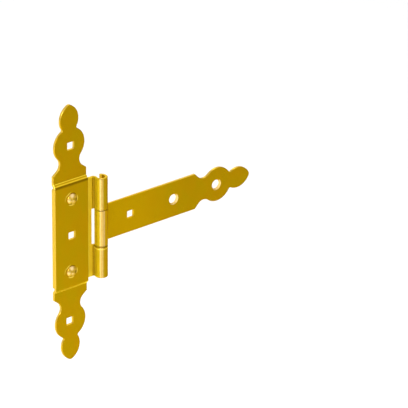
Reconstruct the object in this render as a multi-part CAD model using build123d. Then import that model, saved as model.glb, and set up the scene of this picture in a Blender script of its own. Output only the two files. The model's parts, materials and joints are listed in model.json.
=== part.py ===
from build123d import *
import math
import os

# Decorative T-hinge for a gate, pressed from flat steel and opened out flat.
# Origin: centre of the plate's middle bolt hole, on the face that lies against the post.
# X runs along the strap, Y points back into the post, Z runs up along the pin.
# The pieces are drawn about the pin's axis and moved to that origin at the end.

# Sheet and its bends
sheet = 2.5
root_radius = 1.0            # inside radius where a sheet turns forward to its knuckle
edge_break = 0.3             # bevel that takes the burr off the sheared edges

# Barrel
pin_diameter = 7.0
pin_recess = 4.0             # from each end of the barrel to the pin
pin_chamfer = 0.6
running_clearance = 0.08     # radial, between the pin and the strap's knuckle
knuckle_gap = 0.35           # axial, above and below the strap's knuckle
seam_angle = 23.0            # from the back of the barrel to the free end of a roll

# Mounting plate
plate_width = 36.6
joggle_clearance = 0.6       # from the end of the leaf to the step behind the plate
joggle_run = 3.2             # height over which the plate steps back to the post
stem_length = 8.0            # flat between the step and the shoulders of the finial
joggle_inside = 0.8          # bend radii of the step
joggle_outside = 2.0

# Hinge leaf
leaf_height = 98.0
pin_offset = 31.7            # from the plate's centreline to the pin
notch_depth = 7.7            # from the pin to the edge of the notch between the knuckles
notch_corner = 0.8
leaf_corner = 1.5
bolt_clearance = 16.0        # hole behind the plate's middle square hole

# Strap
strap_width = 35.0
strap_reach = 175.6          # from the pin to the tip
square_hole_reach = 36.0     # from the pin to the square hole
round_hole_reach = 85.7      # from the pin to the first round hole
round_hole = 9.0
hole_chamfer = 0.9

# Finial, the same at both ends of the plate and at the end of the strap
finial_length = 64.6
neck_position = 10.0         # from the shoulder to the narrowest point
neck_width = 21.6
lobe_position = 26.0         # from the shoulder to the centre of the round lobe
lobe_radius = 16.6
tip_width = 20.2
tip_round = 3.6
notch_width = 14.2           # where the lobe meets the tip
notch_round = 1.8
shoulder_round = 0.8

# Punched holes
square_hole = 7.5
square_corner = 0.7
hole_setback = 1.0           # of a finial's hole, from the centre of its lobe back towards the shoulder
punch_lean = 0.8             # degrees by which the plate's row of holes and rivets leans from its centreline

# Rivets
rivet_spacing = 71.0
shank_diameter = 6.0
head_width = 10.6
head_height = 2.2
tail_width = 9.0             # countersunk tail, flush with the back of the leaf
tail_depth = 1.5
dish_width = 13.0            # shallow dish pressed in the plate round each rivet
dish_depth = 0.35

# Places that follow from the sizes above
pin_radius = pin_diameter / 2
strap_bore = pin_radius + running_clearance
back = strap_bore + sheet            # the face that lies against the post and the gate
leaf_front = back - sheet
plate_front = leaf_front - sheet
pin_length = leaf_height - 2 * pin_recess
barrel_gap = strap_width + 2 * knuckle_gap
joggle_start = leaf_height / 2 + joggle_clearance
plate_shoulder = joggle_start + joggle_run + stem_length
plate_hole = plate_shoulder + lobe_position - hole_setback
plate_end = plate_shoulder + finial_length
strap_shoulder = strap_reach - finial_length
strap_hole = strap_shoulder + lobe_position - hole_setback
rivet_heights = (-rivet_spacing / 2, rivet_spacing / 2)


def punched_at(height):
    """Where the plate's leaning row of holes and rivets is at the given height."""
    return -pin_offset + height * math.tan(math.radians(punch_lean))


def arc_between(centre, radius, start, end):
    """The shorter arc of a circle between two of its points."""
    middle = (start - centre).normalized() + (end - centre).normalized()
    return ThreePointArc(start, centre + middle.normalized() * radius, end)


def finial_edges(half_width):
    """One side of a finial that points along +Y, from its shoulder at Y = 0 to its tip."""
    neck = neck_width / 2
    rise = lobe_position - neck_position
    neck_radius = (rise ** 2 + neck ** 2 - lobe_radius ** 2) / (2 * (lobe_radius - neck))
    neck_centre = Vector(neck + neck_radius, neck_position)
    lobe_centre = Vector(0, lobe_position)
    corner = Vector(half_width, 0)
    # the straight run from the shoulder is tangent to the neck
    reach = neck_centre - corner
    run = math.sqrt(reach.length ** 2 - neck_radius ** 2)
    heading = math.atan2(reach.Y, reach.X) + math.atan2(neck_radius, run)
    neck_start = corner + Vector(math.cos(heading), math.sin(heading)) * run
    neck_end = neck_centre + (lobe_centre - neck_centre).normalized() * neck_radius
    # each side of the pointed tip is the one arc that leaves the notch, just reaches the full
    # width of the tip and ends on the centreline
    notch_half = notch_width / 2
    notch = Vector(notch_half, lobe_position + math.sqrt(lobe_radius ** 2 - notch_half ** 2))
    tip = Vector(0, finial_length)
    tip_half = tip_width / 2
    height = tip.Y - notch.Y
    bulge = tip_half - notch_half
    mean = math.sqrt(tip_half * bulge * (height ** 2 + notch_half ** 2))
    tip_rise = (tip_half * height - mean) / notch_half
    arch_radius = (tip_rise ** 2 + tip_half ** 2) / (2 * tip_half)
    arch_centre = Vector(tip_half - arch_radius, tip.Y - tip_rise)
    return [
        Line(corner, neck_start),
        arc_between(neck_centre, neck_radius, neck_start, neck_end),
        arc_between(lobe_centre, lobe_radius, neck_end, notch),
        arc_between(arch_centre, arch_radius, notch, tip),
    ]


def finial(width, stem):
    """A finial on a straight stem that reaches down to Y = -stem, with its points rounded."""
    half_width = width / 2
    side = finial_edges(half_width)
    side.append(Line(Vector(half_width, -stem), Vector(half_width, 0)))
    other_side = [mirror(edge, about=Plane.YZ) for edge in side]
    foot = Line(Vector(-half_width, -stem), Vector(half_width, -stem))
    face = make_face(side + other_side + [foot])
    notch = side[2] @ 1
    rounds = (
        (notch, notch_round),
        (Vector(-notch.X, notch.Y), notch_round),
        (Vector(0, finial_length), tip_round),
        (Vector(half_width, 0), shoulder_round),
        (Vector(-half_width, 0), shoulder_round),
    )
    for point, radius in rounds:
        corner = face.vertices().sort_by_distance(point)[0]
        face = fillet(corner, radius)
    return face


def across(sketch, x=0, z=0):
    """A tool with this outline that cuts through every sheet at the given place."""
    depth = 3 * back
    return extrude(Plane((x, back, z), x_dir=(1, 0, 0), z_dir=(0, -1, 0)) * sketch, depth, both=True)


def deburr(body, bend_line):
    """Bevels the sheared edges of a sheet whose bends run along the given axis."""
    edges = body.edges().filter_by(Axis.Y, reverse=True).filter_by(bend_line, reverse=True)
    return chamfer(edges, edge_break)


def rolled_section(bore, far_end):
    """Section of a sheet that comes flat from X = far_end and is rolled round the front of the pin."""
    outside = bore + sheet
    root_centre_y = leaf_front - root_radius
    root_centre_x = -math.sqrt((root_radius + outside) ** 2 - root_centre_y ** 2)
    root = (root_centre_x, root_centre_y)
    lean = math.degrees(math.atan2(root_centre_y, -root_centre_x))
    sweep = 270 + lean - seam_angle
    end_direction = Vector(math.sin(math.radians(seam_angle)), math.cos(math.radians(seam_angle)))
    return make_face([
        Line((far_end, back), (root_centre_x, back)),
        CenterArc(root, root_radius + sheet, -lean, 90 + lean),
        CenterArc((0, 0), bore, 180 - lean, sweep),
        Line(end_direction * bore, end_direction * outside),
        CenterArc((0, 0), outside, 180 - lean, sweep),
        CenterArc(root, root_radius, -lean, 90 + lean),
        Line((root_centre_x, leaf_front), (far_end, leaf_front)),
        Line((far_end, leaf_front), (far_end, back)),
    ])


def build_hinge_leaf():
    """The leaf behind the plate, with its upper and lower knuckles."""
    left = -pin_offset - plate_width / 2
    leaf = extrude(rolled_section(pin_radius, left), leaf_height / 2, both=True)
    leaf = fillet(leaf.edges().filter_by(Axis.Y), leaf_corner)
    reach = notch_depth + 2 * back
    notch = RectangleRounded(reach, barrel_gap, notch_corner)
    leaf -= across(notch, x=reach / 2 - notch_depth)
    leaf = deburr(leaf, Axis.Z)
    leaf -= across(Circle(bolt_clearance / 2), x=-pin_offset)
    for height in rivet_heights:
        leaf -= rivet_shank(height)
    return leaf


def build_strap_leaf():
    """The strap with the middle knuckle at its root and a finial at its end."""
    section = mirror(rolled_section(strap_bore, -strap_reach), about=Plane.YZ)
    strap = extrude(section, strap_width / 2, both=True)
    outline = Pos(strap_shoulder, 0) * Rot(0, 0, -90) * finial(strap_width, strap_shoulder + 2 * back)
    strap = deburr(strap & across(outline), Axis.Z)
    strap -= across(RectangleRounded(square_hole, square_hole, square_corner), x=square_hole_reach)
    for reach in (round_hole_reach, strap_hole):
        strap -= across(Circle(round_hole / 2), x=reach)
    rims = strap.edges().filter_by(GeomType.CIRCLE).filter_by_position(Axis.Y, leaf_front, leaf_front)
    rims = rims.filter_by(lambda edge: math.isclose(edge.radius, round_hole / 2))
    return chamfer(rims, hole_chamfer)


def build_mounting_plate():
    """The ornamental plate, raised over the leaf and stepped back to the post at both ends."""
    slope = math.atan2(sheet, joggle_run)
    lead = sheet * math.tan(slope / 2)
    radii = (joggle_inside, joggle_outside)
    rear = FilletPolyline(
        (leaf_front, 0), (leaf_front, joggle_start), (back, joggle_start + joggle_run), (back, plate_end),
        radius=radii,
    )
    front = FilletPolyline(
        (plate_front, 0), (plate_front, joggle_start + lead),
        (leaf_front, joggle_start + joggle_run + lead), (leaf_front, plate_end),
        radius=tuple(reversed(radii)),
    )
    half = make_face([rear, front, Line(rear @ 0, front @ 0), Line(rear @ 1, front @ 1)])
    section = Plane.YZ * (half + mirror(half, about=Plane.XZ))
    strip = Pos(-pin_offset, 0, 0) * extrude(section, plate_width, both=True)
    end = Pos(0, plate_shoulder) * finial(plate_width, plate_shoulder)
    plate = deburr(strip & across(end + Rot(0, 0, 180) * end, x=-pin_offset), Axis.X)
    for height in (-plate_hole, 0, plate_hole):
        hole = RectangleRounded(square_hole, square_hole, square_corner)
        plate -= across(hole, x=punched_at(height), z=height)
    for height in rivet_heights:
        plate -= rivet_dish(height)
        plate -= rivet_shank(height)
    return plate


def place_on_rivet(height):
    """A frame at a rivet's axis on the post side, its Z towards the front."""
    return Plane((punched_at(height), back, height), x_dir=(1, 0, 0), z_dir=(0, -1, 0))


def rivet_dish(height):
    """Shallow dish in the front of the plate, the shape of a flat lens."""
    half = dish_width / 2
    radius = (half ** 2 + dish_depth ** 2) / (2 * dish_depth)
    ball = Sphere(radius)
    return place_on_rivet(height) * Pos(0, 0, 2 * sheet - dish_depth + radius) * ball


def rivet_shank(height):
    """A rivet without its head: a plain shank and a countersunk tail."""
    shank = Pos(0, 0, sheet) * Cylinder(shank_diameter / 2, 2 * sheet)
    tail = Pos(0, 0, tail_depth / 2) * Cone(tail_width / 2, shank_diameter / 2, tail_depth)
    return place_on_rivet(height) * (shank + tail)


def build_rivets():
    """Two dome-headed rivets that hold the plate to the leaf."""
    half = head_width / 2
    radius = (half ** 2 + head_height ** 2) / (2 * head_height)
    seat = 2 * sheet - dish_depth
    rivets = []
    for height in rivet_heights:
        dome = Pos(0, 0, seat + head_height - radius) * Sphere(radius)
        head = (place_on_rivet(height) * dome) & rivet_dish(height)
        rivets.append(rivet_shank(height) + head)
    return Compound(children=rivets)


def build_hinge_pin():
    """Plain pin with chamfered ends, recessed in the barrel."""
    pin = Cylinder(pin_radius, pin_length)
    return chamfer(pin.edges().filter_by(GeomType.CIRCLE), pin_chamfer)


os.makedirs("parts", exist_ok=True)
pin_place = Pos(pin_offset, -back, 0)
nodes = {
    "mounting_plate": build_mounting_plate(),
    "hinge_leaf": build_hinge_leaf(),
    "strap_leaf": build_strap_leaf(),
    "hinge_pin": build_hinge_pin(),
    "rivets": build_rivets(),
}
for name, shape in nodes.items():
    export_step(pin_place * shape, f"parts/{name}.step")
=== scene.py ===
import bpy
import bmesh
import json
import math
from mathutils import Matrix, Vector


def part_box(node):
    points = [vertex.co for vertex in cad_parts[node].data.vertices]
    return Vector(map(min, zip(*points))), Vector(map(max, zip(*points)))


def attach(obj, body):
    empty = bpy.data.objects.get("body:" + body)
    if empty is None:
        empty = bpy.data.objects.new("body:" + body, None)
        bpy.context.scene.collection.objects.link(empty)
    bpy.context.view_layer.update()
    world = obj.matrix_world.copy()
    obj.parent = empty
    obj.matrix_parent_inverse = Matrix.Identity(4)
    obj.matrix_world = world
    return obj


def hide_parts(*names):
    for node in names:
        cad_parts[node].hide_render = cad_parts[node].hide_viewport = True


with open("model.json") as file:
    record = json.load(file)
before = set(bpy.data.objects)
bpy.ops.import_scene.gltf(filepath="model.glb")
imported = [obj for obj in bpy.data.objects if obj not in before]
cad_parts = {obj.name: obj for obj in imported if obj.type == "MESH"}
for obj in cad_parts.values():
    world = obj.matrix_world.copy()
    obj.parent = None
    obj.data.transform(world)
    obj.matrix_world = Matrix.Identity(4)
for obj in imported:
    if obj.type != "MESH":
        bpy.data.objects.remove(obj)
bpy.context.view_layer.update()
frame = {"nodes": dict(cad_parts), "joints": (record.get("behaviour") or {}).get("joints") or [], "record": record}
nodes = frame["nodes"]
pinAt = Vector(frame["joints"][0]["pos_m"])
mounts = {mount["name"]: mount for mount in frame["record"]["mounts"]}
barrelRadius = -pinAt.y
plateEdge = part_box("mounting_plate")[1].x

# Seen from in front of the plate, to its left and above, from far away with a long lens.
camera = dict(azimuth=-39.75, elevation=25.64, roll=0.73, distance=2.771, near=0.1, far=50,
              pixelsPerMetre=1130.3, originColumn=68.58, originRow=233.54, imageSize=408, sensor=36.0)


def makeCamera():
    azimuth, elevation, roll = (math.radians(camera[key]) for key in ("azimuth", "elevation", "roll"))
    back = Vector((math.sin(azimuth) * math.cos(elevation), -math.cos(azimuth) * math.cos(elevation),
                   math.sin(elevation)))
    level = Vector((math.cos(azimuth), math.sin(azimuth), 0))
    upright = back.cross(level)
    right = level * math.cos(roll) + upright * math.sin(roll)
    up = upright * math.cos(roll) - level * math.sin(roll)
    middle = camera["imageSize"] / 2
    sideways = (camera["originColumn"] - middle) / camera["pixelsPerMetre"]
    upwards = (middle - camera["originRow"]) / camera["pixelsPerMetre"]
    data = bpy.data.cameras.new("photoCamera")
    data.sensor_width = camera["sensor"]
    data.lens = camera["sensor"] * camera["pixelsPerMetre"] * camera["distance"] / camera["imageSize"]
    data.clip_start, data.clip_end = camera["near"], camera["far"]
    eye = bpy.data.objects.new("photoCamera", data)
    place = back * camera["distance"] - right * sideways - up * upwards
    eye.matrix_world = Matrix.Translation(place) @ Matrix((right, up, back)).transposed().to_4x4()
    bpy.context.scene.collection.objects.link(eye)
    bpy.context.scene.camera = eye


makeCamera()
print("camera placed")


class Shade:
    # A shader value: arithmetic on it adds Math nodes, and node() adds any other kind.
    def __init__(self, tree, socket=None):
        self.tree = tree
        self.socket = socket

    def node(self, kind, settings, sockets, output=0):
        made = self.tree.nodes.new(kind)
        for key, value in settings.items():
            setattr(made, key, value)
        for key, value in sockets.items():
            if isinstance(value, Shade):
                self.tree.links.new(value.socket, made.inputs[key])
            else:
                made.inputs[key].default_value = value
        return Shade(self.tree, made.outputs[output])

    def maths(self, operation, *others):
        return self.node("ShaderNodeMath", dict(operation=operation), dict(enumerate((self, *others))))

    def __add__(self, other):
        return self.maths("ADD", other)

    def __sub__(self, other):
        return self.maths("SUBTRACT", other)

    def __mul__(self, other):
        return self.maths("MULTIPLY", other)

    def __rsub__(self, other):
        return self * -1 + other

    __radd__, __rmul__ = __add__, __mul__

    def part(self, axis):
        return self.node("ShaderNodeSeparateXYZ", {}, {0: self}, output=axis)

    def ramp(self, start, end):
        # 0 before start and 1 after end, smoothly; start may be the larger of the two
        sockets = {"Value": self, "From Min": start, "From Max": end}
        return self.node("ShaderNodeMapRange", dict(interpolation_type="SMOOTHSTEP"), sockets)

    def band(self, start, end, soft):
        return self.ramp(start - soft, start + soft) * self.ramp(end + soft, end - soft)

    def between(self, first, second):
        # from the first number to the second as this value goes from 0 to 1
        return self * (second - first) + first

    def tint(self, first, second):
        # the same for two colours
        sockets = {0: self}
        for key, colour in ((6, first), (7, second)):
            sockets[key] = colour if isinstance(colour, Shade) else (*colour, 1)
        return self.node("ShaderNodeMix", dict(data_type="RGBA"), sockets, output=2)


studio = dict(floorHeight=-0.45, floorSize=8.0, floorColour=(0.92, 0.92, 0.92), floorRoughness=0.8,
              skyColour=(1.0, 1.0, 1.0), horizon=0.45, zenith=0.5, horizonHeight=0.1, zenithHeight=0.8,
              backdrop=0.68, backdropStart=0.35, backdropEnd=0.65)
# place, aim, width, height and brightness of each panel
softboxes = dict(
    left=((-1.35, -0.2, 0.55), (-0.65, 0.0, -0.45), 1.8, 0.8, 10.4),
    front=((-0.65, -1.5, 1.5), (0, 0, 0), 0.5, 0.5, 5.4),
    behind=((1.6, 1.7, 2.2), (1.5, 1.6, -0.45), 1.6, 1.3, 4.2),
    right=((0.85, -0.85, 0.85), (0, 0, 0.05), 0.6, 0.6, 1.4))


def makeFloor():
    bpy.ops.mesh.primitive_plane_add(size=studio["floorSize"], location=(0, 0, studio["floorHeight"]))
    floor = bpy.context.object
    floor.name = "floor"
    finish = bpy.data.materials.new("floorPaper")
    finish.use_nodes = True
    shader = finish.node_tree.nodes["Principled BSDF"]
    shader.inputs["Base Color"].default_value = (*studio["floorColour"], 1)
    shader.inputs["Roughness"].default_value = studio["floorRoughness"]
    floor.data.materials.append(finish)


def makeLights():
    world = bpy.context.scene.world or bpy.data.worlds.new("studio")
    bpy.context.scene.world = world
    world.use_nodes = True
    sky = world.node_tree.nodes["Background"]
    sky.inputs["Color"].default_value = (*studio["skyColour"], 1)
    towards = Shade(world.node_tree).node("ShaderNodeTexCoord", {}, {}, output="Generated")
    upward = towards.part("Z").ramp(studio["horizonHeight"], studio["zenithHeight"])
    # a pale backdrop behind the hinge, which its cut edges reflect
    behind = towards.part("Y").ramp(studio["backdropStart"], studio["backdropEnd"])
    strength = upward.between(studio["horizon"], studio["zenith"]) + behind * studio["backdrop"]
    world.node_tree.links.new(strength.socket, sky.inputs["Strength"])
    for name, (place, aim, width, height, brightness) in softboxes.items():
        data = bpy.data.lights.new(name, "AREA")
        data.shape = "RECTANGLE"
        data.size, data.size_y = width, height
        data.energy = brightness * math.pi * width * height  # so that size leaves the brightness alone
        lamp = bpy.data.objects.new(name, data)
        lamp.location = place
        lamp.rotation_mode = "QUATERNION"
        lamp.rotation_quaternion = (Vector(aim) - Vector(place)).to_track_quat("-Z", "Y")
        bpy.context.scene.collection.objects.link(lamp)


makeFloor()
makeLights()
bpy.context.scene.view_settings.view_transform = "Standard"
print("studio lit")

# Yellow-passivated zinc plating, in metres. Besides the plating's own tones, most of these colours are painted
# highlights, painted light and painted shade.
zinc = dict(gold=(0.422, 0.248, 0.0), olive=(0.403, 0.255, 0.0), amber=(0.457, 0.240, 0.0),
            barrelHighlight=(0.66, 0.45, 0.16), paintedShade=(0.19, 0.105, 0.0), cream=(0.68, 0.47, 0.16),
            pale=(0.78, 0.57, 0.03), warm=(0.52, 0.30, 0.0), bright=(1.0, 0.78, 0.10),
            lemon=(0.90, 0.80, 0.06), flank=(0.45, 0.32, 0.006), shadow=(0.34, 0.23, 0.0),
            sheared=(0.54, 0.36, 0.05), edgeTint=(1.0, 0.75, 0.15),
            metallic=0.85, specular=0.0, coat=0.02, coatRoughness=0.15,
            roughness=0.32, roughnessSpread=0.12, patchRoughness=0.05,
            cloudScale=26, cloudRamp=(0.38, 0.62),
            patchScale=95, patchDetail=3.0, patchStretch=(1, 1, 0.45), patchRamp=(0.35, 0.65), patch=0.6,
            grainScale=1400, grainBump=0.05, grainDepth=0.00004,
            dentScale=120, dentBump=0.12, dentDepth=0.0001)
# A cut wall has little of its normal along Y and a cut end has much along Z: none and all of the finish at
# these shares. Walls start at these barrel radii from the pin.
cut = dict(wall=(0.74, 0.68), end=(0.8, 0.95), clear=(1.03, 1.08))
# Angles are in degrees round the pin, from the front towards the strap, and reach is in barrel radii.
# Bands and rings are start, end, finish and strength.
# the barrel's highlight near its front is painted, its bands round the pin are painted shade and highlight, and
# its rings at the lower knuckle joint are painted shade and highlight
barrel = dict(reach=(1.1, 1.05), highlightAngle=-35, highlightSpread=(26, 7.8), highlightStrength=0.85, soft=3, ringSoft=0.0002,
              streakScale=520, streakDetail=1.0, streakStretch=(1, 1, 0.012), streakRamp=(0.52, 0.62),
              streak=0.5, scuffScale=280, scuffDetail=3.0, scuffRamp=(0.25, 0.55), scuff=0.3,
              bands=((-66, -49, "shadow", 0.75), (-27, -19, "flank", 0.5)),
              rings=((-0.0189, -0.0180, "paintedShade", 0.8), (-0.0208, -0.0199, "bright", 0.5)))
strapBarrel = dict(barrel, rings=((-0.0176, -0.0171, "bright", 0.3),),
                   bands=((-66, -49, "shadow", 0.75), (-27, -21, "flank", 0.4), (-17, -4, "barrelHighlight", 0.7)))
# painted light and shade on the leaf, in X from the plate's edge or the pin, and in Y
stripe = dict(fromPlate=-0.0004, toPin=-0.0070, soft=0.0007, front=(-0.0015, -0.0018))
root = dict(start=-0.0066, end=-0.0056, soft=0.0003, front=(-0.0022, -0.00242),
            deep=(-0.004305, -0.003895), strength=0.6)
flank = dict(toPin=-0.0047, soft=0.0004, metallic=0.6)
hollow = dict(wall=(0.003708, 0.0036), turn=0.0027, soft=0.0004, paintedShade=0.5)
# painted shade and highlight lines on the plate's steps: side of the plate, start, end, finish and strength of
# each line, beyond the end of the leaf
step = dict(lines=((1, -0.0002, 0.0021, "paintedShade", 0.7), (1, 0.0023, 0.0030, "pale", 0.7),
                   (1, 0.0033, 0.0037, "paintedShade", 0.15), (1, 0.0041, 0.0050, "pale", 1.0),
                   (-1, 0.0018, 0.0054, "lemon", 0.8)), soft=0.0003, front=(-0.0025, -0.002625))
strapTone = dict(start=0.06, end=0.14, strength=0.7)
# the painted highlight on the bevels of the round holes
roundHoles = dict(radius=0.0045, bevel=0.0009, soft=0.0002, turn=0.001, metallic=0.3)
# painted highlight and shade arcs round each rivet's dish: angle and reach of each arc in degrees, its inner and
# outer radius, finish and strength
dish = dict(arcs=((126, 24, 0.0062, 0.0072, "bright", 0.8), (164, 16, 0.0066, 0.0080, "bright", 0.3),
                  (-97, 32, 0.0053, 0.0063, "bright", 0.8), (-4, 26, 0.0056, 0.0064, "bright", 0.7),
                  (74, 34, 0.0053, 0.0062, "paintedShade", 0.9)), soft=0.0003)
# the painted light on the pin's ends
pinEnd = dict(depth=0.001, soft=0.0003, metallic=0.3)
# painted highlights and painted shade on each dome: place from its axis in X and Z, radius and strength
rivetToneAndLight = dict(glint=(0.88, 0.66, 0.32), ground=(0.64, 0.41, 0.05), metallic=0.3, groundMetallic=0.7,
                   soft=0.0011, scuffScale=600, scuffRamp=(0.3, 0.6), scuff=0.5,
                   glintSpots=(((-0.0006, 0.0040), 0.0019, 0.8), ((-0.0038, -0.0002), 0.0013, 0.6),
                             ((-0.0003, -0.0015), 0.0006, 0.8)),
                   shaded=(((0.0036, -0.0006), 0.0015, 0.8), ((0.0008, 0.0004), 0.0006, 0.6),
                           ((-0.0020, -0.0040), 0.0010, 0.7)))
# height of each rivet from the middle, the profile that is spun, and the flats round its dome
rivet = dict(height=0.0355, tailRadius=0.0045, shankRadius=0.003, tailDepth=0.0015, seat=-0.00483,
             rimRadius=0.0052, rimHeight=0.0003, top=-0.00685, rings=12, steps=48, weld=1e-6,
             lobes=3, lobeDepth=0.00015, turns=(0.6, 0.9))


def noise(place, scale, detail=2.0, stretch=(1, 1, 1)):
    stretched = place.node("ShaderNodeVectorMath", dict(operation="MULTIPLY"), {0: place, 1: stretch})
    sockets = {"Vector": stretched, "Scale": scale, "Detail": detail}
    return place.node("ShaderNodeTexNoise", {}, sockets)


def rivetPlaces():
    # the rivets stand in the plate's row of holes, which leans a little
    row = Vector(mounts["plate_upper_square_hole"]["pos_m"])
    return [row * (height / row.z) for height in (rivet["height"], -rivet["height"])]


def axisDistance(place, corner, keep):
    # distance from a line through corner, along the axis that keep leaves out
    flat = place.node("ShaderNodeVectorMath", dict(operation="MULTIPLY"), {0: place, 1: keep})
    corner = [value * kept for value, kept in zip(corner, keep)]
    sockets = {0: flat, 1: corner}
    return place.node("ShaderNodeVectorMath", dict(operation="DISTANCE"), sockets, output="Value")


def pinDistance(place):
    return axisDistance(place, pinAt, (1, 1, 0))


def onBarrel(place):
    outer, inner = barrel["reach"]
    return pinDistance(place).ramp(barrelRadius * outer, barrelRadius * inner)


def paintBarrelLight(place, colour, roll):
    # a highlight is painted on the side of the barrel that stands proudest, and the rolling has left lines along
    # it that break the highlight up; the bands round the pin are painted shade and highlight, and the rings at the
    # lower knuckle joint are painted shade and highlight
    across, forward = place.part("X") - pinAt.x, pinAt.y - place.part("Y")
    turn = across.maths("ARCTAN2", forward) * (180 / math.pi)
    highlit = (turn - roll["highlightAngle"]).maths("ABSOLUTE").ramp(*roll["highlightSpread"])
    lines = noise(place, roll["streakScale"], roll["streakDetail"], roll["streakStretch"])
    lines = lines.ramp(*roll["streakRamp"]) * roll["streak"]
    scuffs = noise(place, roll["scuffScale"], roll["scuffDetail"]).ramp(*roll["scuffRamp"])
    near = onBarrel(place)
    highlit = highlit * near * scuffs.between(1 - roll["scuff"], 1) * roll["highlightStrength"] * (1 - lines)
    colour = highlit.tint(colour, zinc["barrelHighlight"])
    for start, end, finish, strength in roll["bands"]:
        colour = (turn.band(start, end, roll["soft"]) * near * strength).tint(colour, zinc[finish])
    for start, end, finish, strength in roll["rings"]:
        ring = place.part("Z").band(start, end, roll["ringSoft"]) * near
        colour = (ring * strength).tint(colour, zinc[finish])
    return colour


def shearedEdge(place):
    # the cut walls of a sheet and their broken edges, but not the round of the barrel
    normal = place.node("ShaderNodeTexCoord", {}, {}, output="Normal")
    wall = normal.part("Y").maths("ABSOLUTE").ramp(*cut["wall"])
    end = normal.part("Z").maths("ABSOLUTE").ramp(*cut["end"])
    inner, outer = cut["clear"]
    clear = pinDistance(place).ramp(barrelRadius * inner, barrelRadius * outer)
    return (wall * clear).maths("MAXIMUM", end)


def leftFlank(place):
    # the side of the barrel that faces the plate
    edge = pinAt.x + flank["toPin"]
    return place.part("X").ramp(edge + flank["soft"], edge - flank["soft"]) * onBarrel(place)


def zincMaterial(name, marks, roll=None):
    material = bpy.data.materials.new(name)
    material.use_nodes = True
    tree = material.node_tree
    shader = tree.nodes["Principled BSDF"]
    place = Shade(tree).node("ShaderNodeTexCoord", {}, {}, output="Object")
    clouds = noise(place, zinc["cloudScale"]).ramp(*zinc["cloudRamp"])
    patches = noise(place, zinc["patchScale"], zinc["patchDetail"], zinc["patchStretch"])
    patches = patches.ramp(*zinc["patchRamp"])
    colour = clouds.tint(zinc["gold"], zinc["olive"])
    colour = (patches * zinc["patch"]).tint(colour, zinc["amber"])
    # cut walls and broken edges are painted paler, as a highlight
    colour, metallic = marks(place, shearedEdge(place).tint(colour, zinc["sheared"]))
    if roll:
        colour = paintBarrelLight(place, colour, roll)
    grain = noise(place, zinc["grainScale"])
    roughness = (grain - 0.5) * zinc["roughnessSpread"] + (patches - 0.5) * zinc["patchRoughness"]
    dents = noise(place, zinc["dentScale"])
    sockets = {"Height": dents, "Strength": zinc["dentBump"], "Distance": zinc["dentDepth"]}
    relief = place.node("ShaderNodeBump", {}, sockets)
    sockets = {"Height": grain, "Strength": zinc["grainBump"], "Distance": zinc["grainDepth"],
               "Normal": relief}
    relief = place.node("ShaderNodeBump", {}, sockets)
    shader.inputs["Metallic"].default_value = zinc["metallic"]
    inputs = {"Base Color": colour, "Roughness": roughness + zinc["roughness"], "Normal": relief,
              "Metallic": metallic}
    for socket, value in inputs.items():
        if value:
            tree.links.new(value.socket, shader.inputs[socket])
    shader.inputs["Specular IOR Level"].default_value = zinc["specular"]
    shader.inputs["Specular Tint"].default_value = (*zinc["edgeTint"], 1)
    shader.inputs["Coat Weight"].default_value = zinc["coat"]
    shader.inputs["Coat Roughness"].default_value = zinc["coatRoughness"]
    return material


def leafMarks(place, colour):
    # light is painted on the strip beside the plate and on the barrel's side that faces the plate, with less metal
    # there, and shade is painted along the root of the roll
    along, depth = place.part("X"), place.part("Y")
    strip = along.band(plateEdge + stripe["fromPlate"], pinAt.x + stripe["toPin"], stripe["soft"])
    strip = strip * depth.ramp(*stripe["front"])
    side = leftFlank(place)
    colour = side.tint(strip.tint(colour, zinc["pale"]), zinc["flank"])
    metallic = side.maths("MAXIMUM", strip).between(zinc["metallic"], flank["metallic"])
    line = along.band(pinAt.x + root["start"], pinAt.x + root["end"], root["soft"])
    line = line * depth.ramp(*root["front"]) * depth.ramp(*root["deep"])
    colour = (line * root["strength"]).tint(colour, zinc["paintedShade"])
    # inside the open ends of the barrel, light is painted on the wall by the seam and shade beyond it
    inside = pinDistance(place).ramp(*hollow["wall"])
    turn = pinAt.x + hollow["turn"]
    beyond = along.ramp(turn - hollow["soft"], turn + hollow["soft"])
    colour = (inside * (1 - beyond)).tint(colour, zinc["bright"])
    return (inside * beyond * hollow["paintedShade"]).tint(colour, zinc["paintedShade"]), metallic


def strapMarks(place, colour):
    # the strap is warmer towards its root
    # light is painted on the side of its barrel that faces the plate, with less metal there
    side = leftFlank(place)
    near = place.part("X").ramp(strapTone["end"], strapTone["start"]) * strapTone["strength"]
    colour = side.tint(near.tint(colour, zinc["warm"]), zinc["flank"])
    metallic = side.between(zinc["metallic"], flank["metallic"])
    # a highlight is painted on the bevels of the two round holes, at the lower right, with less metal there
    pattern = mounts["strap_round_holes"]
    half = pattern["dims"]["spacing_x_mm"] / 2 / 1000
    edge, soft = roundHoles["radius"] + roundHoles["bevel"], roundHoles["soft"]
    bevels = place.part("X") * 0
    for shift in (-half, half):
        centre = Vector(pattern["pos_m"]) + Vector((shift, 0, 0))
        side = (place.part("X") - centre.x - place.part("Z")).ramp(-roundHoles["turn"], roundHoles["turn"])
        gap = axisDistance(place, centre, (1, 0, 1)).ramp(edge + soft, edge - soft)
        bevels = bevels.maths("MAXIMUM", gap * side)
    metallic = metallic + bevels * (roundHoles["metallic"] - zinc["metallic"])
    return bevels.tint(colour, zinc["cream"]), metallic


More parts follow.
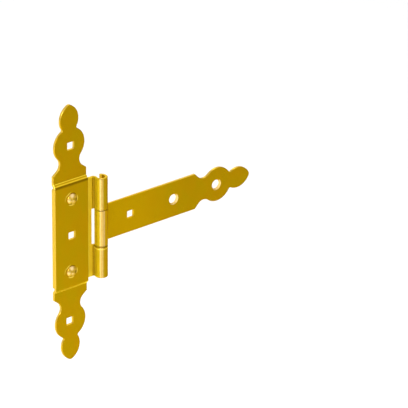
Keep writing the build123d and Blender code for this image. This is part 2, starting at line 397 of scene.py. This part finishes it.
def plateMarks(place, colour):
    # painted shade and highlight lines on the plate's upper step back to the post, and a painted highlight on its
    # lower one
    height, front = place.part("Z"), place.part("Y").ramp(*step["front"])
    front = front * (1 - shearedEdge(place))
    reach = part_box("hinge_leaf")[1].z
    for side, start, end, finish, strength in step["lines"]:
        near, far = side * (reach + start), side * (reach + end)
        bend = height.band(min(near, far), max(near, far), step["soft"])
        colour = (bend * front * strength).tint(colour, zinc[finish])
    # painted highlights in arcs round each dish, and a painted shade arc above it
    for centre in rivetPlaces():
        gap = axisDistance(place, centre, (1, 0, 1))
        right, up = place.part("X") - centre.x, place.part("Z") - centre.z
        for angle, reach, inner, outer, finish, strength in dish["arcs"]:
            turn, middle = math.radians(angle), (inner + outer) / 2
            towards = right * math.cos(turn) + up * math.sin(turn)
            start, full = (middle * math.cos(math.radians(away)) for away in (reach, reach / 2))
            arc = towards.ramp(start, full)
            colour = (arc * gap.band(inner, outer, dish["soft"]) * strength).tint(colour, zinc[finish])
    return colour, None


def pinMarks(place, colour):
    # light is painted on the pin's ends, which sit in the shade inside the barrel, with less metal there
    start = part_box("hinge_pin")[1].z - pinEnd["depth"]
    end = place.part("Z").maths("ABSOLUTE").ramp(start, start + pinEnd["soft"])
    return end.tint(colour, zinc["bright"]), end.between(zinc["metallic"], pinEnd["metallic"])


def rivetMarks(place, colour):
    # painted highlight and painted shade spots on each dome, over the rivet's own scuffed tone
    spots = {"glintSpots": place.part("X") * 0, "shaded": place.part("X") * 0}
    for centre in rivetPlaces():
        for kind in spots:
            for (right, up), radius, strength in rivetToneAndLight[kind]:
                gap = axisDistance(place, centre + Vector((right, 0, up)), (1, 0, 1))
                spot = gap.ramp(radius + rivetToneAndLight["soft"], radius - rivetToneAndLight["soft"]) * strength
                spots[kind] = spots[kind].maths("MAXIMUM", spot)
    scuffs = noise(place, rivetToneAndLight["scuffScale"]).ramp(*rivetToneAndLight["scuffRamp"])
    colour = scuffs.between(1 - rivetToneAndLight["scuff"], 1).tint(colour, rivetToneAndLight["ground"])
    colour = spots["glintSpots"].tint(spots["shaded"].tint(colour, zinc["paintedShade"]), rivetToneAndLight["glint"])
    return colour, spots["glintSpots"].between(rivetToneAndLight["groundMetallic"], rivetToneAndLight["metallic"])


def dress(node, material):
    node.data.materials.clear()
    node.data.materials.append(material)


dress(nodes["mounting_plate"], zincMaterial("zincPlate", plateMarks))
dress(nodes["hinge_leaf"], zincMaterial("zincLeaf", leafMarks, barrel))
dress(nodes["strap_leaf"], zincMaterial("zincStrap", strapMarks, strapBarrel))
dress(nodes["hinge_pin"], zincMaterial("zincPin", pinMarks))
print("finishes applied")


def makeRivets():
    build = bmesh.new()
    profile = [(0, 0), (rivet["tailRadius"], 0), (rivet["shankRadius"], -rivet["tailDepth"]),
               (rivet["shankRadius"], rivet["seat"]), (rivet["rimRadius"], rivet["seat"])]
    rim = rivet["seat"] - rivet["rimHeight"]
    for ring in range(rivet["rings"] + 1):
        angle = ring / rivet["rings"] * math.pi / 2
        profile.append((rivet["rimRadius"] * math.cos(angle), rim + (rivet["top"] - rim) * math.sin(angle)))
    for centre, turn in zip(rivetPlaces(), rivet["turns"]):
        before = set(build.verts)
        points = [build.verts.new((centre.x + radius, depth, centre.z)) for radius, depth in profile]
        edges = [build.edges.new(pair) for pair in zip(points, points[1:])]
        bmesh.ops.spin(build, geom=points + edges, cent=centre, axis=(0, 1, 0), angle=2 * math.pi,
                       steps=rivet["steps"], use_merge=True, dvec=(0, 0, 0))
        for point in set(build.verts) - before:
            if point.co.y < rim:
                # the rivet set has left a few flats round the dome
                offset = point.co - centre
                share = math.hypot(offset.x, offset.z) / rivet["rimRadius"]
                wave = math.cos(rivet["lobes"] * (math.atan2(offset.z, offset.x) + turn))
                point.co.y += rivet["lobeDepth"] * (1 - wave) * math.sin(math.pi * min(share, 1))
    bmesh.ops.remove_doubles(build, verts=build.verts, dist=rivet["weld"])
    bmesh.ops.recalc_face_normals(build, faces=build.faces)
    mesh = bpy.data.meshes.new("peenedRivets")
    build.to_mesh(mesh)
    build.free()
    for face in mesh.polygons:
        face.use_smooth = True
    piece = bpy.data.objects.new("peenedRivets", mesh)
    bpy.context.scene.collection.objects.link(piece)
    dress(piece, zincMaterial("zincRivet", rivetMarks))
    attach(piece, "post_side")
    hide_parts("rivets")


makeRivets()
print("rivets peened")
